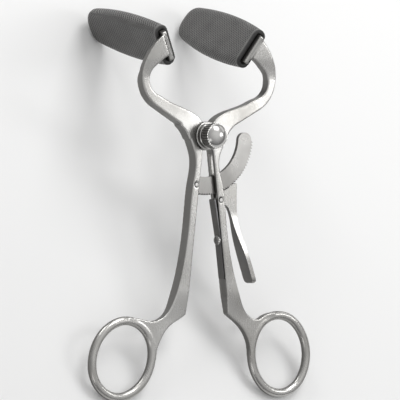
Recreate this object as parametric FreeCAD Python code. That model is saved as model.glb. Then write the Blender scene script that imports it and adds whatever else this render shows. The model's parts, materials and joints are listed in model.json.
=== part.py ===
import FreeCAD, Part
import math
import os

# Ratchet mouth gag, drawn in the instrument's own frame: the pivot axis is Z, the knob faces +Z,
# the jaws point to +Y and the finger rings to -Y. The last section lays it on a table.
# Lengths are millimetres and angles are degrees. Sizes are given for the right lever (+X).

# Joint
shank_thickness = 5.5
lap_gap = 0.06
hub_radius = 6.2
hub_clearance = 0.3
stud_radius = 2.2
stud_running_fit = 0.05
stud_head_radius = 3.6
stud_head_depth = 1.1
stud_head_crown = 0.4
stud_neck_radius = 1.7
stud_neck_length = 5.2
stud_tip_chamfer = 0.4
washer_radius = 5.3
washer_thickness = 1.4
washer_bevel = 0.25
seat_gap = 0.05
knob_collar_radius = 4.9
knob_collar_height = 1.2
knob_radius = 5.45
knob_band_height = 4.0
knob_dome_height = 2.4
knob_bevel = 0.35
knurl_count = 30
knurl_depth = 0.4
knurl_width_share = 0.55

# Shanks: the outer edge is given as distance below the pivot and distance from the middle
inner_face_offset = 2.0
inner_face_angle = 6.8
shoulder_depth = 76.5
shank_outer_edge = ((7.0, 7.05), (19.8, 7.75), (35.3, 9.7), (55.9, 13.1), (71.4, 18.2))
neck_outer_edge = ((77.0, 22.0), (79.2, 27.0))
neck_thickness = 3.4
neck_taper_start = 66.0
neck_taper_end = 80.0

# Lyre-shaped arms
crotch = (3.05, 5.9)
hub_side = (9.6, 0.8)
arm_outer_centre = (20.15, 25.5)
arm_outer_radius = 15.4
arm_outer_end = 22.0
arm_inner_centre = (24.4, 23.6)
arm_inner_radius = 7.0
arm_inner_start = -73.0
arm_inner_end = 50.0
arm_slope = 28.6
arm_root_length = 12.6
arm_underside_place = ((21.2, 14.5), (11.0, 11.0))
arm_front = ((9.0, 2.75), (24.0, 3.1), (34.0, 4.6), (48.0, 6.2))
arm_back = ((24.0, -1.2), (9.0, -2.75))
arm_end_centre = (24.4, 38.4)
arm_end_above = 4.5
arm_end_below = 5.0

# Jaws: the blade lies behind the arm's end and leans outward with the lever
jaw_centre = (22.9, 38.2, 2.0)
jaw_lean = 28.0
jaw_toe_in = 4.2
blade_thickness = 2.2
blade_reach_front = 2.4
arm_to_sleeve = 0.5
blade_fit = 0.3

# Rubber sleeves
sleeve_length = 54.4
sleeve_thickness = 6.6
sleeve_wall = 1.9
sleeve_edge_radius = 3.0
sleeve_edge_steps = 3
sleeve_half_width = 10.7
sleeve_widest_place = 21.0
sleeve_side_radius = 154.0
sleeve_corner_below_tip = 5.6
sleeve_tip_radius = 14.0
cavity_mouth_overrun = 1.0

# Finger rings: an oval of four arcs with a round section
ring_half_width = 14.8
ring_half_height = 16.9
ring_end_radius = 13.6
ring_section_radius = 1.85
ring_section_sides = 8
neck_top_direction = 100.0
neck_side_direction = 182.0

# The two levers aren't quite mirror images, as the photo shows them
arm_turn = 1.2
right_ring_centre = (39.8, -94.4)
right_ring_lean = 6.0
right_jaw_tilt = 14.0
right_neck_underside = ((81.9, 18.2), (88.0, 22.4))
left_ring_centre = (43.4, -95.2)
left_ring_lean = 36.0
left_jaw_tilt = 10.5
left_neck_underside = ((81.9, 19.9), (88.0, 24.5))

# Ratchet quadrant
quadrant_tip_radius = 25.4
quadrant_inner_radius = 17.6
quadrant_thickness = 1.7
tooth_pitch = 3.0
tooth_height = 0.9
tooth_steep_share = 0.25
teeth_first_angle = -100.0
teeth_last_angle = -4.0
quadrant_end_angle = 4.5
tang_depth = 2.7
tang_fit = 0.04
rivet_inside_root = 2.74
rivet_depth = 1.55
rivet_radius = 0.85
rivet_head_radius = 1.15
rivet_head_depth = 0.6
pin_fit = 0.04
pin_proud = 0.12

# Pawl lever
mortise_width = 2.1
mortise_top = 7.8
mortise_below_pin = 6.7
pawl_pin_direction = -75.92
pawl_pin_below_teeth = 2.95
pawl_pin_radius = 0.8
pawl_hub_radius = 1.5
pawl_thickness = 1.9
pawl_nose_below_pin = 3.8
pawl_nose_radius = 0.85
pawl_head_start = -72.0
pawl_head_overlap = 2.0
pawl_first_tooth = -61.0
mesh_clearance = 0.08
lift_angle = 8.0
lift_clearance = 0.12

# Finger and thumb pad, from the pawl's pin
pawl_back = 9.65
pawl_fork = ((6.0, -5.1), (4.7, -2.9))
finger_outer_edge = ((11.0, -12.9), (14.3, -23.2))
finger_inner_edge = ((12.3, -23.2), (8.4, -12.9))
pad_tip = ((18.4, -34.7), (17.85, -35.9), (16.5, -35.0))
pad_width = 6.5
pad_length = 9.5
serration_count = 9
serration_pitch = 0.95
serration_depth = 0.3
serration_start = (15.85, -27.1)

# Leaf spring and its screw, placed down the right shank's inner face
spring_width = 4.0
spring_thickness = 0.7
spring_above_nose = 4.5
spring_below_screw = 16.8
spring_bend_above_screw = 2.2
spring_tip_lift = 0.75
spring_corner_radius = 0.8
groove_below_mortise = 2.0
groove_below_spring = 7.7
groove_depth = 0.3
groove_side_fit = 0.1
screw_below_groove_top = 8.6
screw_head_radius = 2.15
screw_head_height = 0.9
screw_radius = 1.0
screw_length = 2.6
screw_slot_width = 0.6
screw_slot_depth = 0.45

half_thickness = shank_thickness / 2
lap_face = lap_gap / 2
washer_seat = half_thickness + seat_gap
knob_seat = washer_seat + washer_thickness + seat_gap
quadrant_root_radius = quadrant_tip_radius - tooth_height
tilt_halvings = 30
vector = FreeCAD.Vector
Z_AXIS = vector(0, 0, 1)
ORIGIN = vector(0, 0, 0)


def polar(radius, angle, centre=(0, 0)):
    """A point at a radius and an angle in degrees from a centre."""
    turn = math.radians(angle)
    return vector(centre[0] + radius * math.cos(turn), centre[1] + radius * math.sin(turn), 0)


def flat(pair):
    return vector(pair[0], pair[1], 0)


def turned_point(point, turn):
    return polar(point.Length, math.degrees(math.atan2(point.y, point.x)) + turn)


def segment(start, end):
    return Part.LineSegment(start, end).toShape()


def spline(points, start, end):
    """A smooth curve through points, with its direction at both ends."""
    curve = Part.BSplineCurve()
    curve.interpolate(Points=points, InitialTangent=start, FinalTangent=end)
    return curve.toShape()


def arc(centre, radius, start, end):
    """An arc from one angle to another, either way round."""
    middle = (start + end) / 2
    ends = [polar(radius, angle, centre) for angle in (start, middle, end)]
    return Part.Arc(*ends).toShape()


def prism(edges, bottom, top):
    """The solid between two heights over a closed outline."""
    face = Part.Face(Part.Wire(Part.__sortEdges__(edges)))
    face.translate(vector(0, 0, bottom))
    return face.extrude(vector(0, 0, top - bottom))


def polygon(points, bottom, top):
    edges = [segment(a, b) for a, b in zip(points, points[1:] + points[:1])]
    return prism(edges, bottom, top)


def disc(radius, bottom, top, centre=(0, 0)):
    return Part.makeCylinder(radius, top - bottom, vector(centre[0], centre[1], bottom), Z_AXIS)


def turned(points):
    """A turned piece from its half profile of radius and height."""
    outline = [vector(radius, 0, height) for radius, height in points]
    face = Part.Face(Part.makePolygon(outline + outline[:1]))
    return face.revolve(ORIGIN, Z_AXIS, 360)


def mirrored(shape):
    """The left-hand copy of a right-hand shape."""
    return shape.mirror(ORIGIN, vector(1, 0, 0))


def one_solid(shape):
    """The single solid that a boolean left, without seams between flush faces."""
    solids = sorted(shape.removeSplitter().Solids, key=lambda solid: solid.Volume)
    return solids[-1]


def face_point(length, height):
    """A point of the right shank's inner face, by its length down the face and height off it."""
    turn = math.radians(inner_face_angle)
    along = vector(math.sin(turn), -math.cos(turn), 0)
    out = vector(-math.cos(turn), -math.sin(turn), 0)
    return vector(inner_face_offset, 0, 0) + along * length + out * height


def down_face(point):
    """How far down the right shank's inner face a point lies."""
    start = face_point(0, 0)
    return (point - start).dot(face_point(1, 0) - start)


def left_shank_point(radius, depth):
    """Where a circle about the pivot passes so deep under the left shank's inner face."""
    start = face_point(0, -depth)
    along = face_point(1, -depth) - start
    lead = start.dot(along)
    length = -lead + math.sqrt(lead * lead - start.dot(start) + radius * radius)
    point = face_point(length, -depth)
    return vector(-point.x, point.y, 0)


# Places that follow from the sizes
rivet_place = left_shank_point(quadrant_root_radius - rivet_inside_root, rivet_depth)
pawl_pin_place = polar(quadrant_tip_radius + pawl_pin_below_teeth, pawl_pin_direction)
nose_place = down_face(pawl_pin_place) + pawl_nose_below_pin
mortise_bottom = down_face(pawl_pin_place) + mortise_below_pin
groove_top = mortise_bottom + groove_below_mortise
screw_place = groove_top + screw_below_groove_top
spring_top = nose_place - spring_above_nose
spring_bend_start = screw_place - spring_bend_above_screw
spring_bottom = screw_place + spring_below_screw
groove_bottom = spring_bottom + groove_below_spring


# Finger rings
def oval_arcs():
    """Centre, radius, start and end angle of the four arcs of a ring's centreline."""
    rise = ring_half_height - ring_end_radius
    spread = ring_half_width**2 + rise**2 - ring_end_radius**2
    side_radius = spread / (2 * (ring_half_width - ring_end_radius))
    offset = side_radius - ring_half_width
    turn = math.degrees(math.atan2(rise, offset))
    return [
        ((-offset, 0), side_radius, -turn, turn),
        ((0, rise), ring_end_radius, turn, 180 - turn),
        ((offset, 0), side_radius, 180 - turn, 180 + turn),
        ((0, -rise), ring_end_radius, 180 + turn, 360 - turn),
    ]


def finger_ring():
    """The oval bar, whose section is round but for the narrow flats that the file leaves."""
    corner = ring_section_radius / math.cos(math.pi / ring_section_sides)
    pieces = []
    for centre, radius, start, end in oval_arcs():
        section = []
        for index in range(ring_section_sides):
            around = 2 * math.pi * (index + 0.5) / ring_section_sides
            reach = polar(radius + corner * math.cos(around), start, centre)
            section.append(reach + Z_AXIS * (corner * math.sin(around)))
        face = Part.Face(Part.makePolygon(section + section[:1]))
        pieces.append(face.revolve(flat(centre), Z_AXIS, end - start))
    return pieces[0].fuse(pieces[1:])


def ring_bore():
    """What the neck leaves free inside the ring, out to the middle of its section."""
    edges = [arc(centre, radius, start, end) for centre, radius, start, end in oval_arcs()]
    return prism(edges, -shank_thickness, shank_thickness)


def placed_ring(shape, centre, lean):
    shape.rotate(ORIGIN, Z_AXIS, lean)
    shape.translate(flat(centre))
    return shape


def ring_point(centre, lean, direction, share):
    """A point of the ring in a direction, from its centreline (0) out to its rim (1)."""
    turn = math.radians(direction - lean)
    across = ring_half_width * math.sin(turn)
    along = ring_half_height * math.cos(turn)
    reach = ring_half_width * ring_half_height / math.hypot(across, along)
    return polar(reach + share * ring_section_radius, direction, centre)


# Lever outline
def jaw_line_point(offset):
    """A point of the line on which the arm ends, along the blade's width."""
    return flat(arm_end_centre) + polar(offset, 90 - jaw_lean)


def arm_outline(turn):
    """The lyre arm from the hub's outer side round to the crotch, as its two ends and its edges."""
    arc_start = polar(arm_outer_radius, arm_slope - 90, arm_outer_centre)
    root = arc_start - polar(arm_root_length, arm_slope)
    outer_top = jaw_line_point(arm_end_above)
    inner_top = jaw_line_point(-arm_end_below)
    outer_rise = spline(
        [polar(arm_outer_radius, arm_outer_end, arm_outer_centre), outer_top],
        polar(12, arm_outer_end + 90),
        polar(12, 136),
    )
    inner_fall = spline(
        [inner_top, polar(arm_inner_radius, arm_inner_end, arm_inner_centre)],
        polar(8, -23),
        polar(8, arm_inner_end - 90),
    )
    inner_start = polar(arm_inner_radius, arm_inner_start, arm_inner_centre)
    underside = spline(
        [inner_start] + [flat(place) for place in arm_underside_place] + [flat(crotch)],
        polar(6, arm_inner_start - 90),
        polar(6, -120),
    )
    edges = [
        segment(root, arc_start),
        arc(arm_outer_centre, arm_outer_radius, arm_slope - 90, arm_outer_end),
        outer_rise,
        segment(outer_top, inner_top),
        inner_fall,
        arc(arm_inner_centre, arm_inner_radius, arm_inner_end, arm_inner_start),
        underside,
    ]
    for edge in edges:
        edge.rotate(ORIGIN, Z_AXIS, turn)
    return turned_point(root, turn), turned_point(flat(crotch), turn), edges


def lever_outline(ring_centre, ring_lean, neck_places, turn):
    """The whole lever flat, with its neck running on into the finger ring."""
    root, crotch_point, arm = arm_outline(turn)
    hub_foot = face_point(0, 0)
    shoulder = face_point(shoulder_depth / math.cos(math.radians(inner_face_angle)), 0)
    middle = flat(ring_centre)
    ring_top = ring_point(ring_centre, ring_lean, neck_top_direction, 0.8)
    ring_side = ring_point(ring_centre, ring_lean, neck_side_direction, 0.8)
    downward = [vector(across, -depth, 0) for depth, across in shank_outer_edge + neck_outer_edge]
    outer_edge = spline(
        [ring_top] + downward[::-1] + [flat(hub_side), root],
        polar(8, 180),
        polar(8, arm_slope + turn),
    )
    neck_underside = spline(
        [shoulder] + [vector(across, -depth, 0) for depth, across in neck_places] + [ring_side],
        polar(8, -41),
        polar(8, neck_side_direction + 90),
    )
    return arm + [
        segment(crotch_point, hub_foot),
        segment(hub_foot, shoulder),
        neck_underside,
        segment(ring_side, middle),
        segment(middle, ring_top),
        outer_edge,
    ]


def lever_side_limits(jaw_tilt):
    """The lever seen from the side: thin neck, full shank, and an arm that steps forward to the jaw."""
    slope = math.tan(math.radians(jaw_tilt))
    neck = neck_thickness / 2
    beyond_ring = -125.0
    mouth_ends = (arm_front[-1][0], jaw_centre[1] - sleeve_half_width)
    mouth_plane = jaw_centre[2] + arm_to_sleeve
    arm_end = [(place, mouth_plane + (place - jaw_centre[1]) * slope) for place in mouth_ends]
    side = [
        (beyond_ring, neck),
        (-neck_taper_end, neck),
        (-neck_taper_start, half_thickness),
    ]
    back = [(place, -height) for place, height in reversed(side)]
    side += list(arm_front) + arm_end + list(arm_back) + back
    points = [vector(0, place, height) for place, height in side]
    return Part.Face(Part.makePolygon(points + points[:1])).extrude(vector(80, 0, 0))


# Blade and sleeve
def paddle(inset, front):
    """The tongue-shaped outline that blade and sleeve share, in width (x) and length (y)."""
    side_centre = (sleeve_half_width - sleeve_side_radius, sleeve_widest_place)
    corner_place = sleeve_length - sleeve_corner_below_tip
    side_end = math.degrees(math.asin((corner_place - sleeve_widest_place) / sleeve_side_radius))
    corner = polar(sleeve_side_radius, side_end, side_centre)
    tip_centre = vector(0, sleeve_length - sleeve_tip_radius, 0)
    from_tip = corner - tip_centre
    inward = polar(1, side_end + 180)
    square = sleeve_tip_radius**2 - from_tip.dot(from_tip)
    corner_radius = square / (2 * (sleeve_tip_radius + from_tip.dot(inward)))
    corner_centre = corner + inward * corner_radius
    corner_end = math.degrees(math.atan2(corner_centre.y - tip_centre.y, corner_centre.x))
    side_radius = sleeve_side_radius - inset
    side_start = math.degrees(math.asin((front - sleeve_widest_place) / side_radius))
    half = [
        arc(side_centre, side_radius, side_start, side_end),
        arc(corner_centre, corner_radius - inset, side_end, corner_end),
        arc(tip_centre, sleeve_tip_radius - inset, corner_end, 90),
    ]
    mouth_end = polar(side_radius, side_start, side_centre)
    mouth = segment(vector(-mouth_end.x, mouth_end.y, 0), mouth_end)
    return half + [mirrored(edge) for edge in half] + [mouth]


def on_jaw(shape, jaw_tilt, turn):
    """Moves a shape from the blade's own frame (width, length, thickness) to the right jaw."""
    tilt = math.radians(jaw_tilt)
    toe = math.radians(jaw_toe_in)
    across = polar(1, 90 - jaw_lean)
    straight = polar(1, -jaw_lean)
    depth = straight * math.sin(toe) + Z_AXIS * math.cos(toe)
    length = across * math.sin(tilt) - depth * math.cos(tilt)
    normal = straight * math.cos(toe) - Z_AXIS * math.sin(toe)
    width = normal.cross(length)
    place = FreeCAD.Matrix(
        width.x, length.x, -normal.x, jaw_centre[0],
        width.y, length.y, -normal.y, jaw_centre[1],
        width.z, length.z, -normal.z, jaw_centre[2],
        0, 0, 0, 1,
    )
    shape = shape.transformed(place)
    shape.rotate(ORIGIN, Z_AXIS, turn)
    return shape


def blade():
    outline = paddle(sleeve_wall + blade_fit, -blade_reach_front)
    return prism(outline, -blade_thickness / 2, blade_thickness / 2)


def sleeve_outside():
    """The closed tongue, whose edges turn over in a few narrow bands and end square at the mouth."""
    half = sleeve_thickness / 2
    edge_profile = []
    for step in range(sleeve_edge_steps + 1):
        turn = math.radians(90 * step / sleeve_edge_steps)
        inset = sleeve_edge_radius * (1 - math.cos(turn))
        edge_profile.append((inset, half - sleeve_edge_radius * (1 - math.sin(turn))))
    levels = [(inset, -height) for inset, height in reversed(edge_profile)] + edge_profile
    outlines = []
    for inset, height in levels:
        outline = Part.Wire(Part.__sortEdges__(paddle(inset, 0)))
        outline.translate(vector(0, 0, height))
        outlines.append(outline)
    return Part.makeLoft(outlines, True, True)


def sleeve():
    half = sleeve_thickness / 2
    outside = sleeve_outside()
    cavity = prism(paddle(sleeve_wall, -cavity_mouth_overrun), sleeve_wall - half, half - sleeve_wall)
    return one_solid(outside.cut(cavity))


def lever_blank(ring_centre, ring_lean, neck_places, jaw_tilt, turn):
    """One forging before its joint and slots are cut: ring, neck, shank, arm and blade."""
    outline = lever_outline(ring_centre, ring_lean, neck_places, turn)
    body = prism(outline, -2 * shank_thickness, 2 * shank_thickness)
    body = body.common(lever_side_limits(jaw_tilt)).cut(placed_ring(ring_bore(), ring_centre, ring_lean))
    ring = placed_ring(finger_ring(), ring_centre, ring_lean)
    return body.fuse([ring, on_jaw(blade(), jaw_tilt, turn)])


def half_lap(blank, cut_low, cut_high):
    """Rounds the hub and cuts one half of it away for the other lever's half-lap."""
    hub = disc(hub_radius, -half_thickness, half_thickness)
    pocket = disc(hub_radius + hub_clearance, cut_low, cut_high)
    return one_solid(blank.fuse(hub)).cut(pocket)


# Headed pins, which are also the tools for their own holes
def headed_pin(centre, radius, grow, proud):
    """A pin through the shank with a countersunk head at each face."""
    inner = half_thickness - rivet_head_depth
    outer = half_thickness + proud
    half = [
        (radius + grow, inner),
        (rivet_head_radius + grow, half_thickness),
        (rivet_head_radius + grow - proud, outer),
        (0, outer),
    ]
    other = [(wide, -height) for wide, height in reversed(half)]
    pin = turned(half + other)
    pin.translate(centre)
    return pin


def quadrant_pin(grow, proud):
    return headed_pin(rivet_place, rivet_radius, grow, proud)


def pawl_pin(grow, proud):
    return headed_pin(pawl_pin_place, pawl_pin_radius, grow, proud)


# Ratchet teeth
def tooth_points(root_radius, tip_radius, first_angle):
    """Sawteeth along the quadrant's edge, whose steep sides hold the pawl."""
    points = []
    count = round((teeth_last_angle - first_angle) / tooth_pitch)
    for index in range(count):
        start = first_angle + index * tooth_pitch
        points.append(polar(root_radius, start))
        points.append(polar(tip_radius, start + tooth_steep_share * tooth_pitch))
    points.append(polar(root_radius, teeth_last_angle))
    return points


def angle_of(point):
    return math.degrees(math.atan2(point.y, point.x))


def quadrant():
    """A toothed arc about the pivot, with its tang in the left shank."""
    teeth = tooth_points(quadrant_root_radius, quadrant_tip_radius, teeth_first_angle)
    outer_tang = left_shank_point(quadrant_root_radius, tang_depth)
    inner_tang = left_shank_point(quadrant_inner_radius, tang_depth)
    middle = (quadrant_root_radius + quadrant_inner_radius) / 2
    inner_end = polar(quadrant_inner_radius, teeth_last_angle)
    edges = [segment(a, b) for a, b in zip(teeth, teeth[1:])]
    edges += [
        Part.Arc(teeth[-1], polar(middle, quadrant_end_angle), inner_end).toShape(),
        arc((0, 0), quadrant_inner_radius, teeth_last_angle, angle_of(inner_tang)),
        segment(inner_tang, outer_tang),
        arc((0, 0), quadrant_root_radius, angle_of(outer_tang), teeth_first_angle),
    ]
    plate = prism(edges, -quadrant_thickness / 2, quadrant_thickness / 2)
    return one_solid(plate.cut(quadrant_pin(pin_fit, 0)))


def tang_slot():
    """The blind slot in the left shank's inner face for the quadrant's tang."""
    outer = quadrant_root_radius + tang_fit
    inner = quadrant_inner_radius - tang_fit
    ends = [left_shank_point(radius, tang_depth + tang_fit) for radius in (outer, inner)]
    open_angle = teeth_first_angle + 2 * tooth_pitch
    edges = [
        arc((0, 0), outer, open_angle, angle_of(ends[0])),
        segment(ends[0], ends[1]),
        arc((0, 0), inner, angle_of(ends[1]), open_angle),
        segment(polar(inner, open_angle), polar(outer, open_angle)),
    ]
    half = quadrant_thickness / 2 + tang_fit
    return prism(edges, -half, half)


# Pawl lever
def from_pin(place):
    return pawl_pin_place + flat(place)


def pawl_outline():
    """Head, finger and thumb pad in one outline, at rest."""
    fork_start = from_pin((1.0, 0.3 - pawl_hub_radius))
    head_inner = polar(quadrant_tip_radius - pawl_head_overlap, pawl_head_start)
    head_outer = vector(from_pin((pawl_back, 0)).x, head_inner.y + pawl_head_overlap, 0)
    finger_start = from_pin((pawl_back, pawl_fork[1][1]))
    tip_outer, tip_middle, tip_inner = [from_pin(place) for place in pad_tip]
    outer_edge = spline(
        [finger_start] + [from_pin(place) for place in finger_outer_edge] + [tip_outer],
        polar(10, -90),
        polar(10, -72),
    )
    inner_edge = spline(
        [tip_inner] + [from_pin(place) for place in finger_inner_edge + pawl_fork] + [fork_start],
        polar(10, 110),
        polar(4, 166),
    )
    return [
        segment(pawl_pin_place, head_inner),
        segment(head_inner, head_outer),
        segment(head_outer, finger_start),
        outer_edge,
        Part.Arc(tip_outer, tip_middle, tip_inner).toShape(),
        inner_edge,
        segment(fork_start, pawl_pin_place),
    ]


def pawl_side_limits():
    """The pawl seen edge-on: a plate that widens into the thumb pad."""
    half = pawl_thickness / 2
    pad = pad_width / 2
    pad_end = from_pin(pad_tip[1]).y
    shoulder = pad_end + pad_length
    fork = from_pin(pawl_fork[0]).y
    above_head = vector(0, pawl_pin_place.y + quadrant_tip_radius / 2, half)
    flare_start = vector(0, fork, half)
    flare_middle = vector(0, (fork + shoulder) / 2, (half + pad) / 2)
    corner_start = vector(0, pad_end + 2.4, pad)
    corner_end = vector(0, pad_end - 0.2, 0.4 * pad)
    side = [
        segment(above_head, flare_start),
        spline([flare_start, flare_middle, vector(0, shoulder, pad)], polar(12, -90), polar(10, -90)),
        segment(vector(0, shoulder, pad), corner_start),
        spline([corner_start, corner_end], polar(3, -90), vector(0, -0.2, -1) * 3),
    ]
    other = [edge.mirror(ORIGIN, Z_AXIS) for edge in side]
    ends = [segment(point, vector(0, point.y, -point.z)) for point in (above_head, corner_end)]
    face = Part.Face(Part.Wire(Part.__sortEdges__(side + other + ends)))
    return face.extrude(vector(60, 0, 0))


def pad_serrations():
    """V-grooves across the outer side of the thumb pad."""
    start = from_pin(serration_start)
    along = (from_pin(pad_tip[0]) - start).normalize()
    out = vector(-along.y, along.x, 0)
    half_groove = along * (0.42 * serration_pitch)
    grooves = []
    for index in range(serration_count):
        middle = start + along * (index * serration_pitch)
        rim = middle + out * (3 * serration_depth)
        groove = [middle - out * serration_depth, rim + half_groove, rim - half_groove]
        grooves.append(polygon(groove, -pad_width, pad_width))
    return grooves


def meshed_with_quadrant(head):
    """Cuts the ratchet's teeth into the head's far half, where lifting draws them straight out."""
    root = quadrant_root_radius + mesh_clearance
    tip = quadrant_tip_radius + mesh_clearance
    teeth = polygon(tooth_points(root, tip, pawl_first_tooth) + [ORIGIN], -pad_width, pad_width)
    relief_edges = [
        arc((0, 0), tip, teeth_first_angle, pawl_first_tooth),
        segment(polar(tip, pawl_first_tooth), ORIGIN),
        segment(ORIGIN, polar(tip, teeth_first_angle)),
    ]
    relief = prism(relief_edges, -pad_width, pad_width)
    lifted = disc(quadrant_tip_radius + lift_clearance, -pad_width, pad_width)
    lifted.rotate(pawl_pin_place, Z_AXIS, lift_angle)
    return head.cut([teeth, relief, lifted])


def pawl():
    half = pawl_thickness / 2
    pin = pawl_pin_place
    plate = prism(pawl_outline(), -pad_width, pad_width).common(pawl_side_limits())
    plate = meshed_with_quadrant(plate).cut(pad_serrations())
    nose = face_point(nose_place, spring_height(nose_place) - seat_gap - pawl_nose_radius)
    side = (nose - pin).normalize().cross(Z_AXIS)
    tail = [
        pin + side * pawl_hub_radius,
        nose + side * pawl_nose_radius,
        nose - side * pawl_nose_radius,
        pin - side * pawl_hub_radius,
    ]
    whole = plate.fuse([
        disc(pawl_hub_radius, -half, half, pawl_pin_place),
        disc(pawl_nose_radius, -half, half, nose),
        polygon(tail, -half, half),
    ])
    return one_solid(whole.cut(disc(pawl_pin_radius + pin_fit, -half, half, pawl_pin_place)))


def face_polygon(corners, half_width):
    """A block over an outline of lengths down the right inner face and heights off it."""
    points = [face_point(length, height) for length, height in corners]
    return polygon(points, -half_width, half_width)


def mortise():
    """The long slot right through the right shank for the quadrant and the pawl."""
    out, through = 9, -12
    corners = [(mortise_top, out), (mortise_bottom, out), (mortise_bottom, through), (mortise_top, through)]
    return face_polygon(corners, mortise_width / 2)


# Leaf spring
def spring_height(length):
    """How far the spring's underside stands off the shank's inner face."""
    rise = spring_tip_lift + groove_depth
    share = (spring_bend_start - length) / (spring_bend_start - spring_top)
    return -groove_depth + rise * max(share, 0)


def spring():
    lengths = [spring_bottom, spring_bend_start, spring_top]
    under = [(length, spring_height(length)) for length in lengths]
    over = [(length, height + spring_thickness) for length, height in reversed(under)]
    leaf = face_polygon(under + over, spring_width / 2)
    corners = [edge for edge in leaf.Edges if abs(edge.Length - spring_thickness) < 0.05]
    leaf = leaf.makeFillet(spring_corner_radius, corners)
    hole = disc(screw_radius + pin_fit, -screw_length, screw_length)
    return one_solid(leaf.cut(on_face(hole, screw_place)))


def on_face(shape, length):
    """Sets a shape drawn about Z on the shank's inner face, with Z standing off the face."""
    out = face_point(0, 1) - face_point(0, 0)
    shape.Placement = FreeCAD.Placement(face_point(length, 0), FreeCAD.Rotation(Z_AXIS, out))
    return shape


def spring_screw():
    seat = spring_thickness - groove_depth
    top = seat + screw_head_height
    screw = turned([
        (0, -screw_length),
        (screw_radius, -screw_length),
        (screw_radius, seat),
        (screw_head_radius, seat),
        (screw_head_radius, seat + 0.4 * screw_head_height),
        (0.8 * screw_head_radius, top - 0.1 * screw_head_height),
        (0.5 * screw_head_radius, top),
        (0, top),
    ])
    low = top - screw_slot_depth
    ends = (screw_place - 2 * screw_head_radius, screw_place + 2 * screw_head_radius)
    slot = [(ends[0], low), (ends[1], low), (ends[1], low + 2), (ends[0], low + 2)]
    return one_solid(on_face(screw, screw_place).cut(face_polygon(slot, screw_slot_width / 2)))


def spring_groove():
    over, floor = 1, -groove_depth
    corners = [(groove_top, over), (groove_bottom, over), (groove_bottom, floor), (groove_top, floor)]
    return face_polygon(corners, spring_width / 2 + groove_side_fit)


# Pivot stud, washer and knob
def pivot_stud():
    """The shouldered stud, riveted into the back of the left lever."""
    back = -half_thickness
    tip = washer_seat + stud_neck_length
    return turned([
        (0, back - stud_head_crown),
        (stud_head_radius * 0.7, back - stud_head_crown * 0.7),
        (stud_head_radius, back),
        (stud_radius, back + stud_head_depth),
        (stud_radius, washer_seat),
        (stud_neck_radius, washer_seat),
        (stud_neck_radius, tip - stud_tip_chamfer),
        (stud_neck_radius - stud_tip_chamfer, tip),
        (0, tip),
    ])


def stud_hole():
    """The countersunk hole in the left lever."""
    back = -half_thickness
    bore = stud_radius + pin_fit
    return turned([
        (0, back), (stud_head_radius + pin_fit, back), (bore, back + stud_head_depth),
        (bore, half_thickness), (0, half_thickness),
    ])


def washer():
    top = washer_seat + washer_thickness
    bore = stud_neck_radius + seat_gap
    rim = washer_radius - washer_bevel
    return turned([
        (bore, washer_seat), (rim, washer_seat), (washer_radius, washer_seat + washer_bevel),
        (washer_radius, top - washer_bevel), (rim, top), (bore, top),
    ])


def knob():
    """A domed nut with a knurled band over a plain collar."""
    band = knob_seat + knob_collar_height
    top = band + knob_band_height
    crown = vector(0, 0, top + knob_dome_height)
    dome_radius = knob_radius - knurl_depth - 0.05
    profile = [
        (0, knob_seat),
        (knob_collar_radius - knob_bevel, knob_seat),
        (knob_collar_radius, knob_seat + knob_bevel),
        (knob_collar_radius, band),
        (knob_radius, band),
        (knob_radius, top),
        (dome_radius, top),
    ]
    outline = [vector(radius, 0, height) for radius, height in profile]
    dome_curve = (dome_radius**2 + knob_dome_height**2) / (2 * knob_dome_height)
    half_turn = math.asin(dome_radius / dome_curve) / 2
    half_way = crown + vector(math.sin(half_turn), 0, math.cos(half_turn) - 1) * dome_curve
    edges = [segment(a, b) for a, b in zip(outline, outline[1:])]
    edges += [Part.Arc(outline[-1], half_way, crown).toShape(), segment(crown, outline[0])]
    body = Part.Face(Part.Wire(Part.__sortEdges__(edges))).revolve(ORIGIN, Z_AXIS, 360)
    bore_top = washer_seat + stud_neck_length + seat_gap
    cuts = [disc(stud_neck_radius + seat_gap, knob_seat, bore_top)]
    pitch = 360 / knurl_count
    for index in range(knurl_count):
        angle = index * pitch
        half_groove = pitch * knurl_width_share
        rim = knob_radius + knurl_depth
        groove = [
            polar(knob_radius - knurl_depth, angle),
            polar(rim, angle + half_groove),
            polar(rim, angle - half_groove),
        ]
        cuts.append(polygon(groove, band, top))
    return one_solid(body.cut(cuts))


# The two levers
def right_lever():
    blank = lever_blank(
        right_ring_centre, right_ring_lean, right_neck_underside, right_jaw_tilt, -arm_turn
    )
    lever = half_lap(blank, -shank_thickness, lap_face)
    cuts = [
        disc(stud_radius + stud_running_fit, -shank_thickness, shank_thickness),
        mortise(),
        spring_groove(),
        on_face(disc(screw_radius + pin_fit, -screw_length - seat_gap, 0), screw_place),
        pawl_pin(pin_fit, 0),
    ]
    return one_solid(lever.cut(cuts))


def left_lever():
    blank = lever_blank(
        left_ring_centre, left_ring_lean, left_neck_underside, left_jaw_tilt, arm_turn
    )
    lever = half_lap(mirrored(blank), -lap_face, shank_thickness)
    return one_solid(lever.cut([stud_hole(), tang_slot(), quadrant_pin(pin_fit, 0)]))


def right_sleeve():
    return on_jaw(sleeve(), right_jaw_tilt, -arm_turn)


def left_sleeve():
    return mirrored(on_jaw(sleeve(), left_jaw_tilt, arm_turn))


def all_parts():
    return {
        "left_lever": left_lever(),
        "right_lever": right_lever(),
        "left_jaw_sleeve": left_sleeve(),
        "right_jaw_sleeve": right_sleeve(),
        "pivot_stud": pivot_stud(),
        "joint_washer": washer(),
        "joint_knob": knob(),
        "ratchet_quadrant": quadrant(),
        "quadrant_rivet": quadrant_pin(0, pin_proud),
        "pawl_lever": pawl(),
        "pawl_pin": pawl_pin(0, pin_proud),
        "pawl_spring": spring(),
        "spring_screw": spring_screw(),
    }


# Lying on a table
def mesh_points(shapes):
    return [point for shape in shapes for point in shape.tessellate(0.1)[0]]


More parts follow.
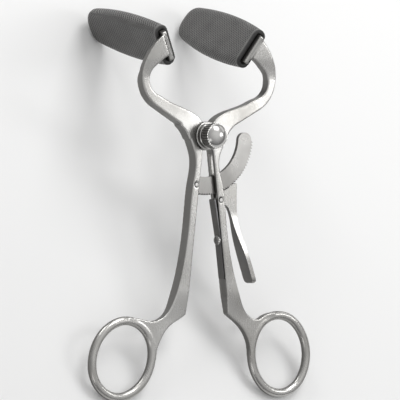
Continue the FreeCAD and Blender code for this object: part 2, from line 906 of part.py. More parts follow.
def rest_tilt(parts):
    """The tilt about X at which the sleeves' tips are as low as the finger rings."""
    levers = [parts["left_lever"], parts["right_lever"]]
    ring_points = [point for point in mesh_points(levers) if point.y < -shoulder_depth]
    tip_points = mesh_points([parts["left_jaw_sleeve"], parts["right_jaw_sleeve"]])

    def lowest(points, turn):
        return min(point.y * math.sin(turn) + point.z * math.cos(turn) for point in points)

    low_turn, high_turn = 0.0, math.radians(40)
    for halving in range(tilt_halvings):
        turn = (low_turn + high_turn) / 2
        if lowest(tip_points, turn) < lowest(ring_points, turn):
            low_turn = turn
        else:
            high_turn = turn
    return math.degrees(turn)


def main():
    os.makedirs("parts", exist_ok=True)
    parts = all_parts()
    tilt = rest_tilt(parts)
    for shape in parts.values():
        shape.rotate(ORIGIN, vector(1, 0, 0), tilt)
    box = FreeCAD.BoundBox()
    for point in mesh_points(parts.values()):
        box.add(point)
    pivot = vector(-box.Center.x, -box.Center.y, -box.ZMin)
    for name, shape in parts.items():
        shape.translate(pivot)
        print(name, shape.isValid(), len(shape.Solids), round(shape.Volume, 1))
        shape.exportStep("parts/" + name + ".step")
    print("rest tilt", round(tilt, 4), "pivot at", [round(value, 3) for value in pivot])
    print("size", [round(value, 2) for value in (box.XLength, box.YLength, box.ZLength)])


main()
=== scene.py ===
import json
import math

import bmesh
import bpy
import numpy as np
from mathutils import Matrix, Vector


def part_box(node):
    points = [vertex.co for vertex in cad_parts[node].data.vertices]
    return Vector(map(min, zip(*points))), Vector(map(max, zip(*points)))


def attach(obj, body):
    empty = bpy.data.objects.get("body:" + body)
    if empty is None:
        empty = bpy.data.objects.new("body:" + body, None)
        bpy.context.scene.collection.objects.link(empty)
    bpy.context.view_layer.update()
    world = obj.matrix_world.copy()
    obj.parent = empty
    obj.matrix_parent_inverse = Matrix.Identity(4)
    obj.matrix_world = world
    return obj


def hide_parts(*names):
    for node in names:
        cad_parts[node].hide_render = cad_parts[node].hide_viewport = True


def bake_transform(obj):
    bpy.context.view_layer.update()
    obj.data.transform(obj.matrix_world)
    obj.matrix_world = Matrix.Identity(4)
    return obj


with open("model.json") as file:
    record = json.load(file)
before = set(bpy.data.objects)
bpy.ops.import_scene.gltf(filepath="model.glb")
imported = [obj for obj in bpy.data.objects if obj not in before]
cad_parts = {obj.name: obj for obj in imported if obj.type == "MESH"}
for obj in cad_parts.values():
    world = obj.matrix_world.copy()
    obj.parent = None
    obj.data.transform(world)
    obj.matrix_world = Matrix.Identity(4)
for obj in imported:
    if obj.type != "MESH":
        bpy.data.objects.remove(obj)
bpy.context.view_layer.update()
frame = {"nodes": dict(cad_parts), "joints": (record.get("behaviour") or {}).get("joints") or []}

# Lengths are metres and angles are degrees, unless a name says otherwise.
MM = 0.001


def linear(red, green, blue):
    """A shader colour from three linear values."""
    return (red, green, blue, 1.0)


# The instrument's own frame: the joint's pin is Z, the jaws point to +Y
jaw_hinge = next(joint for joint in frame["joints"] if joint["name"] == "jaw_hinge")
pivot = Vector(jaw_hinge["pos_m"])
hinge_axis = Vector(jaw_hinge["axis"])
rest_tilt = math.atan2(-hinge_axis.y, hinge_axis.z)
instrument = Matrix.Translation(pivot) @ Matrix.Rotation(rest_tilt, 4, "X")

# Picture: 400 by 400 pixels, nearly without perspective
picture_size = 0.172
camera_turn = 36.0
camera_lens_mm = 500.0
camera_reach = 20.0
sensor_mm = 36.0
picture_centre = (-1.935 * MM, -27.52 * MM)

# Stage: pale paper under a sky that is pale overhead and darker round the sides
floor_half_width = 6.0
paper_colour = linear(0.83, 0.83, 0.825)
horizon_colour = linear(0.13, 0.13, 0.132)
shoulder_height = 0.55
shoulder_colour = linear(0.50, 0.50, 0.505)
zenith_colour = linear(0.92, 0.92, 0.92)
light_target = Vector((0, 0, 0.02))

# Each light's name, place, size and watts
softboxes = (
    ("key_softbox", (0.16, 0.52, 0.62), (0.40, 0.40), 2.6),
    ("sheen_panel", (0.36, -0.03, 0.42), (0.13, 0.18), 0.36),
    ("rim_softbox", (-0.30, 0.60, 0.34), (0.30, 0.20), 1.1),
    ("fill_softbox", (0.75, 0.45, 0.30), (0.5, 0.3), 0.5),
    ("front_softbox", (-0.60, -0.60, 0.35), (0.30, 0.30), 0.35),
)

# Jaws, as the levers carry them
jaw_centre = Vector((22.9, 38.2, 2.0)) * MM
jaw_lean = 28.0
jaw_toe_in = 4.2
arm_turn = 1.2
right_jaw_tilt = 14.0
left_jaw_tilt = 10.5
sleeve_half_width = 10.7 * MM
sleeve_edge_radius = 3.0 * MM
sleeve_voxel = 0.4 * MM
sleeve_smoothing_rounds = 6

# Levers: a fine skin, relaxed so that edges and breaks turn over softly
lever_voxel = 0.26 * MM
lever_smoothing_rounds = 14
lever_half_thickness = 2.75 * MM
still_depth_share = 0.4
moved_depth_share = 0.8

# The levers' side profile: height of the front, or of the back, at places along the instrument
ring_and_shank_mm = ((-90, 1.7), (-80, 1.7), (-66, 2.75), (9, 2.75))
front_profile_mm = ring_and_shank_mm + ((24, 3.1), (34, 4.6), (48, 6.2))
back_profile_mm = ring_and_shank_mm + ((24, 1.2), (27.5, 0.9))

# The flank between shank and arm: its curved edge from shank to arm, and two corners inside the hub
flank_edge_mm = ((9.8, -1.5), (10.35, -0.2), (11.1, 1.1), (12.2, 2.5), (14.5, 4.6))
hub_flank_mm = ((7.0, -1.0), *flank_edge_mm, (13.0, 5.5), (7.0, 3.0))

# Leaf spring: cuts across it
spring_cuts = 14

# Finishes, with painted shade on side faces, in crevices, in the cloth's hollows and at the
# sleeves' mouths
cloth_pitch = 1.45 * MM
mouth_in_pitches = (0.75, 0.15)
lip_in_pitches = (0.8, 1.2)
tip_in_pitches = (36.6, 35.2)
ridge_share = 0.75
# Share of painted shade at the sleeve's mouth, where its inner side lies in shadow
mouth_shade_share = 0.85
edge_radius = 0.30 * MM
fine_edge_radius = 0.07 * MM
pawl_edge_radius = 0.08 * MM
tooth_edge_radius = 0.05 * MM
edge_gain = 9.0
edge_brightening = 1.12
cloud_share = 0.22
patch_share = 0.40
line_roughness = 0.14
cloud_roughness = 0.10
side_roughness = 0.14
# Painted shade for the side faces round each piece's edge
painted_side_shade_colour = linear(0.125, 0.122, 0.117)
outline_colour = linear(0.012, 0.012, 0.011)
outline_softness = 0.15 * MM
# Each tarnish colour darkens the aged marks and also paints shade into crevices
plate_colour = linear(0.56, 0.555, 0.54)
plate_tarnish_and_shade = linear(0.20, 0.19, 0.17)
fitting_colour = linear(0.62, 0.615, 0.60)
fitting_tarnish_and_shade = linear(0.16, 0.15, 0.14)
quadrant_colour = linear(0.36, 0.355, 0.345)
quadrant_tarnish_and_shade = linear(0.12, 0.115, 0.105)
spring_colour = linear(0.20, 0.20, 0.205)
spring_tarnish_and_shade = linear(0.09, 0.085, 0.08)
rubber_colour = linear(0.105, 0.103, 0.10)
rubber_worn = linear(0.165, 0.162, 0.157)
# Painted shade for the cloth's hollows and the sleeve's mouth
rubber_hollow_shade = linear(0.006, 0.006, 0.0058)
rubber_roughness = 0.33
hollow_roughness = 0.25
rubber_grain_scale = 4200.0


# Camera
def instrument_direction(x, y, z):
    return (instrument.to_3x3() @ Vector((x, y, z))).normalized()


def add_camera():
    turn = math.radians(camera_turn)
    right = instrument_direction(math.cos(turn), 0, math.sin(turn))
    up = instrument_direction(0, 1, 0)
    back = right.cross(up)
    looked_at = pivot + right * picture_centre[0] + up * picture_centre[1]
    data = bpy.data.cameras.new("camera")
    data.lens = camera_lens_mm
    data.sensor_width = sensor_mm
    data.clip_end = camera_reach
    camera = bpy.data.objects.new("camera", data)
    distance = picture_size * camera_lens_mm / sensor_mm
    facing = Matrix((right, up, back)).transposed().to_4x4()
    camera.matrix_world = Matrix.Translation(looked_at + back * distance) @ facing
    bpy.context.scene.collection.objects.link(camera)
    bpy.context.scene.camera = camera


# Stage
def add_area_light(name, place, size, watts):
    data = bpy.data.lights.new(name, "AREA")
    data.shape = "RECTANGLE"
    data.size, data.size_y = size
    data.energy = watts
    light = bpy.data.objects.new(name, data)
    light.location = place
    aim = light_target - Vector(place)
    light.rotation_euler = aim.to_track_quat("-Z", "Y").to_euler()
    bpy.context.scene.collection.objects.link(light)


def add_floor():
    half = floor_half_width
    mesh = bpy.data.meshes.new("floor")
    corners = [(-half, -half, 0), (half, -half, 0), (half, half, 0), (-half, half, 0)]
    mesh.from_pydata(corners, [], [(0, 1, 2, 3)])
    floor = bpy.data.objects.new("floor", mesh)
    bpy.context.scene.collection.objects.link(floor)
    material = bpy.data.materials.new("floor_paper")
    material.use_nodes = True
    shader = material.node_tree.nodes["Principled BSDF"]
    shader.inputs["Base Color"].default_value = paper_colour
    shader.inputs["Roughness"].default_value = 0.9
    shader.inputs["Specular IOR Level"].default_value = 0.1
    mesh.materials.append(material)


def add_world():
    """The sky, whose darker sides let metal show its form."""
    world = bpy.data.worlds.new("studio")
    bpy.context.scene.world = world
    world.use_nodes = True
    tree = world.node_tree
    background = tree.nodes["Background"]
    place = tree.nodes.new("ShaderNodeTexCoord")
    parts = tree.nodes.new("ShaderNodeSeparateXYZ")
    ramp = tree.nodes.new("ShaderNodeValToRGB")
    low, high = ramp.color_ramp.elements
    low.position, high.position = 0.0, 1.0
    low.color = horizon_colour
    high.color = zenith_colour
    ramp.color_ramp.elements.new(shoulder_height).color = shoulder_colour
    tree.links.new(place.outputs["Generated"], parts.inputs[0])
    tree.links.new(parts.outputs["Z"], ramp.inputs["Fac"])
    tree.links.new(ramp.outputs["Color"], background.inputs["Color"])


def add_stage():
    add_floor()
    add_world()
    for softbox in softboxes:
        add_area_light(*softbox)


# Shader node groups
def shader_group(name, inputs, outputs):
    tree = bpy.data.node_groups.new(name, "ShaderNodeTree")
    for label, kind, value in inputs:
        socket = tree.interface.new_socket(label, in_out="INPUT", socket_type=kind)
        if value is not None:
            socket.default_value = value
    for label, kind in outputs:
        tree.interface.new_socket(label, in_out="OUTPUT", socket_type=kind)
    return tree, tree.nodes.new("NodeGroupInput"), tree.nodes.new("NodeGroupOutput")


def math_node(tree, operation, first, second=None):
    node = tree.nodes.new("ShaderNodeMath")
    node.operation = operation
    for index, value in enumerate((first, second)):
        if value is None:
            continue
        if isinstance(value, (int, float)):
            node.inputs[index].default_value = value
        else:
            tree.links.new(value, node.inputs[index])
    return node.outputs[0]


def noise_node(tree, vector, scale, detail, roughness=0.5):
    noise = tree.nodes.new("ShaderNodeTexNoise")
    noise.inputs["Scale"].default_value = scale
    noise.inputs["Detail"].default_value = detail
    noise.inputs["Roughness"].default_value = roughness
    tree.links.new(vector, noise.inputs["Vector"])
    return noise.outputs["Fac"]


def polish_lines_group():
    """Fine lines left by polishing along the instrument, as a value about a half."""
    tree, given, result = shader_group(
        "polish_lines",
        [("Across Scale", "NodeSocketFloat", 7000.0), ("Along Scale", "NodeSocketFloat", 160.0)],
        [("Lines", "NodeSocketFloat")],
    )
    place = tree.nodes.new("ShaderNodeTexCoord")
    straight = tree.nodes.new("ShaderNodeMapping")
    straight.inputs["Rotation"].default_value = (-rest_tilt, 0, 0)
    stretch = tree.nodes.new("ShaderNodeCombineXYZ")
    spread = tree.nodes.new("ShaderNodeVectorMath")
    spread.operation = "MULTIPLY"
    tree.links.new(place.outputs["Object"], straight.inputs["Vector"])
    tree.links.new(given.outputs["Across Scale"], stretch.inputs["X"])
    tree.links.new(given.outputs["Along Scale"], stretch.inputs["Y"])
    tree.links.new(given.outputs["Across Scale"], stretch.inputs["Z"])
    tree.links.new(straight.outputs[0], spread.inputs[0])
    tree.links.new(stretch.outputs[0], spread.inputs[1])
    lines = noise_node(tree, spread.outputs[0], 1.0, 3.0, 0.6)
    tree.links.new(lines, result.inputs["Lines"])
    return tree


def cloud_group():
    """Soft cloudy marks of handling and age, from 0 to 1."""
    tree, given, result = shader_group(
        "age_clouds",
        [("Scale", "NodeSocketFloat", 90.0), ("Contrast", "NodeSocketFloat", 2.5)],
        [("Clouds", "NodeSocketFloat")],
    )
    place = tree.nodes.new("ShaderNodeTexCoord")
    noise = tree.nodes.new("ShaderNodeTexNoise")
    noise.inputs["Detail"].default_value = 5.0
    tree.links.new(place.outputs["Object"], noise.inputs["Vector"])
    tree.links.new(given.outputs["Scale"], noise.inputs["Scale"])
    centred = math_node(tree, "SUBTRACT", noise.outputs["Fac"], 0.5)
    wide = math_node(tree, "MULTIPLY", centred, given.outputs["Contrast"])
    shifted = tree.nodes.new("ShaderNodeMath")
    shifted.operation = "ADD"
    shifted.use_clamp = True
    shifted.inputs[1].default_value = 0.5
    tree.links.new(wide, shifted.inputs[0])
    tree.links.new(shifted.outputs[0], result.inputs["Clouds"])
    return tree


def edge_group():
    """Softened edges: the rounded normal, a mask for edges, and one for corners and crevices from
    ambient occlusion, which paints shade into them.
    """
    tree, given, result = shader_group(
        "edge_wear_and_crevice_shade",
        [
            ("Radius", "NodeSocketFloat", edge_radius),
            ("Crevice Reach", "NodeSocketFloat", 1.2 * MM),
        ],
        [
            ("Normal", "NodeSocketVector"),
            ("Edge", "NodeSocketFloat"),
            ("Crevice", "NodeSocketFloat"),
        ],
    )
    rounded = tree.nodes.new("ShaderNodeBevel")
    rounded.samples = 6
    surface = tree.nodes.new("ShaderNodeNewGeometry")
    agree = tree.nodes.new("ShaderNodeVectorMath")
    agree.operation = "DOT_PRODUCT"
    shade = tree.nodes.new("ShaderNodeAmbientOcclusion")
    shade.samples = 8
    tree.links.new(given.outputs["Radius"], rounded.inputs["Radius"])
    tree.links.new(given.outputs["Crevice Reach"], shade.inputs["Distance"])
    tree.links.new(rounded.outputs[0], agree.inputs[0])
    tree.links.new(surface.outputs["Normal"], agree.inputs[1])
    apart = math_node(tree, "SUBTRACT", 1.0, agree.outputs["Value"])
    edge = math_node(tree, "MINIMUM", math_node(tree, "MULTIPLY", apart, edge_gain), 1.0)
    # Painted shade: ambient occlusion, 1 where crevices lie in shade
    crevice_shade = math_node(tree, "SUBTRACT", 1.0, shade.outputs["AO"])
    tree.links.new(rounded.outputs[0], result.inputs["Normal"])
    tree.links.new(edge, result.inputs["Edge"])
    tree.links.new(crevice_shade, result.inputs["Crevice"])
    return tree


def side_group():
    """1 on the faces round a piece's edge and 0 on its front and back. It gives the filed sides
    their satin roughness and paints shade on them, darker than the polished front and back.
    """
    tree, given, result = shader_group(
        "filed_side_and_shade",
        [("Surface Normal", "NodeSocketVector", None)],
        [("Side", "NodeSocketFloat")],
    )
    facing = tree.nodes.new("ShaderNodeVectorMath")
    facing.operation = "DOT_PRODUCT"
    facing.inputs[1].default_value = hinge_axis
    tree.links.new(given.outputs["Surface Normal"], facing.inputs[0])
    level = tree.nodes.new("ShaderNodeMapRange")
    level.interpolation_type = "SMOOTHSTEP"
    level.inputs["From Min"].default_value = 0.64
    level.inputs["From Max"].default_value = 0.12
    tree.links.new(math_node(tree, "ABSOLUTE", facing.outputs["Value"]), level.inputs["Value"])
    tree.links.new(level.outputs["Result"], result.inputs["Side"])
    return tree


def outline_group():
    """The dark line round a pin's head: 1 beyond a distance from the pin's axis."""
    tree, given, result = shader_group(
        "head_outline",
        [("Centre", "NodeSocketVector", None), ("Reach", "NodeSocketFloat", 0.8 * MM)],
        [("Line", "NodeSocketFloat")],
    )
    place = tree.nodes.new("ShaderNodeTexCoord")
    from_centre = tree.nodes.new("ShaderNodeVectorMath")
    from_centre.operation = "SUBTRACT"
    around = tree.nodes.new("ShaderNodeVectorMath")
    around.operation = "CROSS_PRODUCT"
    around.inputs[1].default_value = hinge_axis
    distance = tree.nodes.new("ShaderNodeVectorMath")
    distance.operation = "LENGTH"
    tree.links.new(place.outputs["Object"], from_centre.inputs[0])
    tree.links.new(given.outputs["Centre"], from_centre.inputs[1])
    tree.links.new(from_centre.outputs[0], around.inputs[0])
    tree.links.new(around.outputs[0], distance.inputs[0])
    beyond = math_node(tree, "SUBTRACT", distance.outputs["Value"], given.outputs["Reach"])
    line = tree.nodes.new("ShaderNodeMath")
    line.operation = "MULTIPLY"
    line.use_clamp = True
    line.inputs[1].default_value = 1 / outline_softness
    tree.links.new(beyond, line.inputs[0])
    tree.links.new(line.outputs[0], result.inputs["Line"])
    return tree


def cloth_group():
    """The crossed ridges that the mould's cloth left in the rubber, between plain lip and tip, with
    a mask of painted shade in their hollows and at the sleeve's mouth.
    """
    tree, given, result = shader_group(
        "cloth_impression_and_shade",
        [("Surface", "NodeSocketVector", None)],
        [("Height", "NodeSocketFloat"), ("Hollow", "NodeSocketFloat")],
    )
    parts = tree.nodes.new("ShaderNodeSeparateXYZ")
    tree.links.new(given.outputs["Surface"], parts.inputs[0])
    rise = math_node(tree, "ADD", parts.outputs["X"], parts.outputs["Y"])
    fall = math_node(tree, "SUBTRACT", parts.outputs["X"], parts.outputs["Y"])
    waves = []
    for line in (rise, fall):
        turn = math_node(tree, "MULTIPLY", line, 2 * math.pi)
        waves.append(math_node(tree, "COSINE", turn))
    lower = math_node(tree, "MULTIPLY", waves[1], ridge_share)
    faint = math_node(tree, "SUBTRACT", lower, 1 - ridge_share)
    ridge = math_node(tree, "MAXIMUM", waves[0], faint)
    height = math_node(tree, "ADD", math_node(tree, "MULTIPLY", ridge, 0.5), 0.5)
    depth = tree.nodes.new("ShaderNodeMapRange")
    depth.interpolation_type = "SMOOTHSTEP"
    depth.inputs["From Min"].default_value = 0.80
    depth.inputs["From Max"].default_value = 0.35
    printed = []
    for plain, full in (lip_in_pitches, tip_in_pitches):
        fade = tree.nodes.new("ShaderNodeMapRange")
        fade.inputs["From Min"].default_value = plain
        fade.inputs["From Max"].default_value = full
        tree.links.new(parts.outputs["X"], fade.inputs["Value"])
        printed.append(fade.outputs["Result"])
    print_share = math_node(tree, "MULTIPLY", printed[0], printed[1])
    tree.links.new(height, depth.inputs["Value"])
    lowered = math_node(tree, "MULTIPLY", math_node(tree, "SUBTRACT", 1.0, height), print_share)
    tree.links.new(math_node(tree, "SUBTRACT", 1.0, lowered), result.inputs["Height"])
    # Painted shade at the sleeve's mouth, darker towards its open end
    mouth = tree.nodes.new("ShaderNodeMapRange")
    mouth.inputs["From Min"].default_value = mouth_in_pitches[0]
    mouth.inputs["From Max"].default_value = mouth_in_pitches[1]
    tree.links.new(parts.outputs["X"], mouth.inputs["Value"])
    mouth_shade = math_node(tree, "MULTIPLY", mouth.outputs["Result"], mouth_shade_share)
    # Painted shade in the cloth's hollows
    hollow = math_node(tree, "MULTIPLY", depth.outputs["Result"], print_share)
    tree.links.new(math_node(tree, "MAXIMUM", hollow, mouth_shade), result.inputs["Hollow"])
    return tree


polish_lines = polish_lines_group()
age_clouds = cloud_group()
edge_wear_and_crevice_shade = edge_group()
filed_side_and_shade = side_group()
head_outline = outline_group()
cloth_impression_and_shade = cloth_group()


# Materials
def placed_group(tree, group, **values):
    node = tree.nodes.new("ShaderNodeGroup")
    node.node_tree = group
    for label, value in values.items():
        node.inputs[label.replace("_", " ").title()].default_value = value
    return node


def mixed_colour(tree, factor, first, second):
    """Goes from the first colour to the second as the factor rises. A colour may be a socket."""
    mix = tree.nodes.new("ShaderNodeMix")
    mix.data_type = "RGBA"
    tree.links.new(factor, mix.inputs["Factor"])
    for label, colour in (("A", first), ("B", second)):
        socket = next(s for s in mix.inputs if s.name == label and s.type == "RGBA")
        if isinstance(colour, tuple):
            socket.default_value = colour
        else:
            tree.links.new(colour, socket)
    return next(s for s in mix.outputs if s.type == "RGBA")


def bump(tree, height, depth, strength, normal=None):
    node = tree.nodes.new("ShaderNodeBump")
    node.inputs["Distance"].default_value = depth
    node.inputs["Strength"].default_value = strength
    tree.links.new(height, node.inputs["Height"])
    if normal is not None:
        tree.links.new(normal, node.inputs["Normal"])
    return node.outputs[0]


def pin_centre(node):
    low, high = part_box(node)
    return (Vector(low) + Vector(high)) / 2


def metal(name, colour, tarnish_and_shade, roughness, line_depth, radius, side_shade=0.85, pin=None):
    """Worked metal: polishing lines, age, bright edges, painted shade in corners and on the side
    faces, and a pin's outline.
    """
    material = bpy.data.materials.new(name)
    material.use_nodes = True
    tree = material.node_tree
    shader = tree.nodes["Principled BSDF"]
    shader.inputs["Metallic"].default_value = 1.0
    lines = placed_group(tree, polish_lines)
    clouds = placed_group(tree, age_clouds)
    edges = placed_group(tree, edge_wear_and_crevice_shade, radius=radius)
    sides = placed_group(tree, filed_side_and_shade)
    tree.links.new(edges.outputs["Normal"], sides.inputs["Surface Normal"])
    broad = placed_group(tree, age_clouds, scale=38.0, contrast=3.2)
    patches = math_node(tree, "MULTIPLY", broad.outputs["Clouds"], patch_share)
    marks = math_node(tree, "MULTIPLY", clouds.outputs["Clouds"], cloud_share)
    aged = math_node(tree, "ADD", marks, patches)
    # Painted shade in crevices, darkened with the tarnish colour, joined to the real aged marks
    age_and_crevice_shade = math_node(tree, "MAXIMUM", aged, edges.outputs["Crevice"])
    aged_and_shaded = mixed_colour(tree, age_and_crevice_shade, colour, tarnish_and_shade)
    bright = linear(*(min(1.0, value * edge_brightening) for value in colour[:3]))
    worn = mixed_colour(tree, edges.outputs["Edge"], aged_and_shaded, bright)
    # Painted shade: the side faces are darkened towards the side shade colour
    shaded = math_node(tree, "MULTIPLY", sides.outputs["Side"], side_shade)
    filed = mixed_colour(tree, shaded, worn, painted_side_shade_colour)
    if pin is not None:
        outline = placed_group(tree, head_outline, centre=pin_centre(pin))
        filed = mixed_colour(tree, outline.outputs["Line"], filed, outline_colour)
    tree.links.new(filed, shader.inputs["Base Color"])
    centred = math_node(tree, "SUBTRACT", lines.outputs["Lines"], 0.5)
    spread = math_node(tree, "MULTIPLY", centred, line_roughness)
    clouded = math_node(tree, "MULTIPLY", clouds.outputs["Clouds"], cloud_roughness)
    satin = math_node(tree, "MULTIPLY", sides.outputs["Side"], side_roughness)
    worked = math_node(tree, "ADD", spread, math_node(tree, "ADD", clouded, satin))
    rough = math_node(tree, "ADD", worked, roughness)
    tree.links.new(rough, shader.inputs["Roughness"])
    relief = bump(tree, lines.outputs["Lines"], line_depth, 0.6, edges.outputs["Normal"])
    tree.links.new(relief, shader.inputs["Normal"])
    return material


def rubber(name):
    """Grey rubber with the cloth's print and painted shade in its hollows and at the mouth, rubbed
    smoother on the ridges.
    """
    material = bpy.data.materials.new(name)
    material.use_nodes = True
    tree = material.node_tree
    shader = tree.nodes["Principled BSDF"]
    shader.inputs["Specular IOR Level"].default_value = 0.55
    surface = tree.nodes.new("ShaderNodeUVMap")
    surface.uv_map = "around"
    cloth = placed_group(tree, cloth_impression_and_shade)
    tree.links.new(surface.outputs[0], cloth.inputs["Surface"])
    clouds = placed_group(tree, age_clouds, scale=140.0, contrast=1.8)
    worn = mixed_colour(tree, clouds.outputs["Clouds"], rubber_colour, rubber_worn)
    # Painted shade from the cloth's hollows and the mouth darkens the rubber's colour
    printed = mixed_colour(tree, cloth.outputs["Hollow"], worn, rubber_hollow_shade)
    tree.links.new(printed, shader.inputs["Base Color"])
    dulled = math_node(tree, "MULTIPLY", cloth.outputs["Hollow"], hollow_roughness)
    rough = math_node(tree, "ADD", dulled, rubber_roughness)
    tree.links.new(rough, shader.inputs["Roughness"])
    place = tree.nodes.new("ShaderNodeTexCoord")
    grain = noise_node(tree, place.outputs["Object"], rubber_grain_scale, 2.0)
    fine = bump(tree, grain, 0.02 * MM, 0.5)
    relief = bump(tree, cloth.outputs["Height"], 0.20 * MM, 1.0, fine)
    tree.links.new(relief, shader.inputs["Normal"])
    return material


nickel_steel = metal(
    "nickel_plated_steel", plate_colour, plate_tarnish_and_shade, 0.22, 0.0015 * MM, edge_radius
)
pawl_steel = metal(
    "nickel_plated_pawl", plate_colour, plate_tarnish_and_shade, 0.22, 0.0015 * MM, pawl_edge_radius
)
bright_nickel = metal(
    "bright_nickel_fittings", fitting_colour, fitting_tarnish_and_shade, 0.16, 0.001 * MM, fine_edge_radius
)
pin_steels = {
    node: metal(
        "nickel_plated_" + node,
        fitting_colour,
        fitting_tarnish_and_shade,
        0.2,
        0.001 * MM,
        fine_edge_radius,
        pin=node,
    )
    for node in ("quadrant_rivet", "pawl_pin")
}
quadrant_steel = metal(
    "nickel_plated_quadrant",
    quadrant_colour,
    quadrant_tarnish_and_shade,
    0.26,
    0.0015 * MM,
    tooth_edge_radius,
    side_shade=1.0,
)
spring_steel = metal(
    "dark_spring_steel", spring_colour, spring_tarnish_and_shade, 0.30, 0.002 * MM, pawl_edge_radius
)
grey_rubber = rubber("grey_rubber")


def dress(node, material):
    """Gives a frame node its finish."""
    data = frame["nodes"][node].data
    data.materials.clear()
    data.materials.append(material)


# Pieces
def mesh_piece(name, mesh, material):
    piece = bpy.data.objects.new(name, mesh)
    bpy.context.scene.collection.objects.link(piece)
    mesh.materials.clear()
    mesh.materials.append(material)
    return piece


def merged_copy(node):
    """The mesh of a frame node with its loose triangles joined up."""
    shape = bmesh.new()
    shape.from_mesh(frame["nodes"][node].data)
    bmesh.ops.remove_doubles(shape, verts=shape.verts, dist=0.002 * MM)
    return shape


def piece_from_shape(name, shape, material):
    """An object in its finish, from a shape that isn't needed afterwards."""
    mesh = bpy.data.meshes.new(name)
    shape.to_mesh(mesh)
    shape.free()
    return mesh_piece(name, mesh, material)


def soft_skin(piece, material, voxel, smoothing_rounds):
    """Gives a piece a fine, even skin that turns softly over its edges."""
    remesh = piece.modifiers.new("even_skin", "REMESH")
    remesh.mode = "VOXEL"
    remesh.voxel_size = voxel
    soften = piece.modifiers.new("soft_edges", "SMOOTH")
    soften.iterations = smoothing_rounds
    shapes = bpy.context.evaluated_depsgraph_get()
    mesh = bpy.data.meshes.new_from_object(piece.evaluated_get(shapes))
    piece.modifiers.clear()
    mesh.materials.clear()
    mesh.materials.append(material)
    piece.data = mesh


def jaw_frame(jaw_tilt, side):
    """Axes along a sleeve's width, length and thickness. Side is 1 for right or -1 for left."""
    tilt, toe, lean = (math.radians(angle) for angle in (jaw_tilt, jaw_toe_in, jaw_lean))
    across = Vector((math.sin(lean), math.cos(lean), 0))
    straight = Vector((math.cos(lean), -math.sin(lean), 0))
    face = Vector((0, 0, 1))
    depth = straight * math.sin(toe) + face * math.cos(toe)
    length = across * math.sin(tilt) - depth * math.cos(tilt)
    normal = straight * math.cos(toe) - face * math.sin(toe)
    width = normal.cross(length)
    axes = Matrix((width, length, -normal)).transposed().to_4x4()
    turn = Matrix.Rotation(math.radians(-arm_turn), 4, "Z")
    mirror = Matrix.Diagonal((side, 1, 1, 1))
    return instrument @ mirror @ turn @ Matrix.Translation(jaw_centre) @ axes


def wrap_round_sleeve(mesh, place):
    """A map in cloth pitches: along the sleeve, and round it over its rounded edges."""
    to_sleeve = np.array(place.inverted())
    points = np.array([vertex.co for vertex in mesh.vertices])
    local = points @ to_sleeve[:3, :3].T + to_sleeve[:3, 3]
    width, along, thick = local.T
    flat_part = sleeve_half_width - sleeve_edge_radius
    over = np.maximum(np.abs(width) - flat_part, 0)
    least_depth = 0.05 * MM
    bend = np.arctan2(over, np.maximum(np.abs(thick), least_depth))
    round_edge = np.minimum(np.abs(width), flat_part) + sleeve_edge_radius * bend
    around = np.sign(width) * np.where(thick > 0, round_edge, -round_edge)
    layer = mesh.uv_layers.new(name="around")
    corners = np.array([loop.vertex_index for loop in mesh.loops])
    values = np.stack([along[corners], around[corners]], axis=1) / cloth_pitch
    layer.data.foreach_set("uv", values.astype(np.float32).ravel())


def add_sleeve(node, name, body, jaw_tilt, side):
    """A soft-edged rubber sleeve in the place of its plain solid."""
    piece = piece_from_shape(name, merged_copy(node), grey_rubber)
    soft_skin(piece, grey_rubber, sleeve_voxel, sleeve_smoothing_rounds)
    wrap_round_sleeve(piece.data, jaw_frame(jaw_tilt, side))
    piece.data.shade_smooth()
    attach(piece, body)
    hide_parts(node)


def fill_hub_flank(shape, side):
    """Runs the shank's outer edge smoothly into the arm where the two meet beside the joint."""
    rings = []
    for height in (-lever_half_thickness, lever_half_thickness):
        places = [Vector((side * x * MM, y * MM, height)) for x, y in hub_flank_mm]
        rings.append([shape.verts.new(instrument @ place) for place in places])
    low, high = rings
    faces = [shape.faces.new(low[::-1]), shape.faces.new(high)]
    for index, corner in enumerate(low):
        after = (index + 1) % len(low)
        faces.append(shape.faces.new((corner, low[after], high[after], high[index])))
    bmesh.ops.recalc_face_normals(shape, faces=faces)


def profile_shift(place, profile):
    """How far a smooth curve through a profile stands off its straight lines, and their height."""
    along, height = np.array(profile, dtype=float).T * MM
    slope = np.diff(height) / np.diff(along)
    product = slope[:-1] * slope[1:]
    total = np.where(product > 0, slope[:-1] + slope[1:], 1.0)
    tangent = np.concatenate([[0.0], np.where(product > 0, 2 * product / total, 0.0), [slope[-1]]])
    span = np.clip(np.searchsorted(along, place) - 1, 0, len(slope) - 1)
    width = along[span + 1] - along[span]
    share = np.clip((place - along[span]) / width, 0, 1)
    straight = height[span] + slope[span] * width * share
    start_pull = (tangent[span] - slope[span]) * share * (1 - share) ** 2
    end_pull = (slope[span] - tangent[span + 1]) * share**2 * (1 - share)
    return (start_pull + end_pull) * width, straight


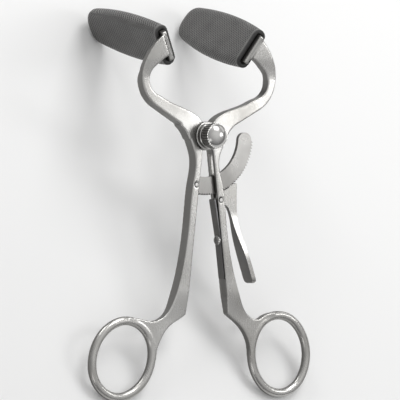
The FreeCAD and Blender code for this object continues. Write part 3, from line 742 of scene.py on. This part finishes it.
def smooth_side_profile(mesh):
    """Runs the lever's front and back as curves in place of straight stretches."""
    to_instrument = np.array(instrument.inverted())
    back_to_world = np.array(instrument)
    points = np.array([vertex.co for vertex in mesh.vertices])
    local = points @ to_instrument[:3, :3].T + to_instrument[:3, 3]
    for sign, profile in ((1, front_profile_mm), (-1, back_profile_mm)):
        shift, height = profile_shift(local[:, 1], profile)
        depth_share = sign * local[:, 2] / height
        between = (depth_share - still_depth_share) / (moved_depth_share - still_depth_share)
        weight = np.clip(between, 0, 1)
        local[:, 2] += sign * shift * weight
    points = local @ back_to_world[:3, :3].T + back_to_world[:3, 3]
    mesh.vertices.foreach_set("co", points.astype(np.float32).ravel())


def add_lever(node, name, body, side):
    """A lever with the eased edges of a forging that was filed and polished by hand."""
    shape = merged_copy(node)
    fill_hub_flank(shape, side)
    piece = piece_from_shape(name, shape, nickel_steel)
    soft_skin(piece, nickel_steel, lever_voxel, lever_smoothing_rounds)
    smooth_side_profile(piece.data)
    piece.data.shade_smooth()
    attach(piece, body)
    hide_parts(node)


def add_leaf_spring():
    """The leaf spring between the shank and the pawl's nose, cut across along its length."""
    shape = merged_copy("pawl_spring")
    up = instrument_direction(0, 1, 0)
    heights = [(vertex.co - pivot).dot(up) for vertex in shape.verts]
    top, bottom = max(heights), min(heights)
    for index in range(1, spring_cuts):
        level = top + (bottom - top) * index / spring_cuts
        bmesh.ops.bisect_plane(
            shape,
            geom=shape.verts[:] + shape.edges[:] + shape.faces[:],
            plane_co=pivot + up * level,
            plane_no=-up,
        )
    piece = piece_from_shape("leaf_spring", shape, spring_steel)
    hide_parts("pawl_spring")
    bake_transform(piece)


def add_pieces():
    dress("pawl_lever", pawl_steel)
    dress("ratchet_quadrant", quadrant_steel)
    for node in ("pivot_stud", "joint_washer", "joint_knob", "spring_screw"):
        dress(node, bright_nickel)
    for node, material in pin_steels.items():
        dress(node, material)
    add_lever("right_lever", "right_forging", "right_side", 1)
    add_lever("left_lever", "left_forging", "left_side", -1)
    add_sleeve("right_jaw_sleeve", "right_rubber_sleeve", "right_side", right_jaw_tilt, 1)
    add_sleeve("left_jaw_sleeve", "left_rubber_sleeve", "left_side", left_jaw_tilt, -1)
    add_leaf_spring()


bpy.context.scene.view_settings.view_transform = "Standard"
add_camera()
add_stage()
add_pieces()
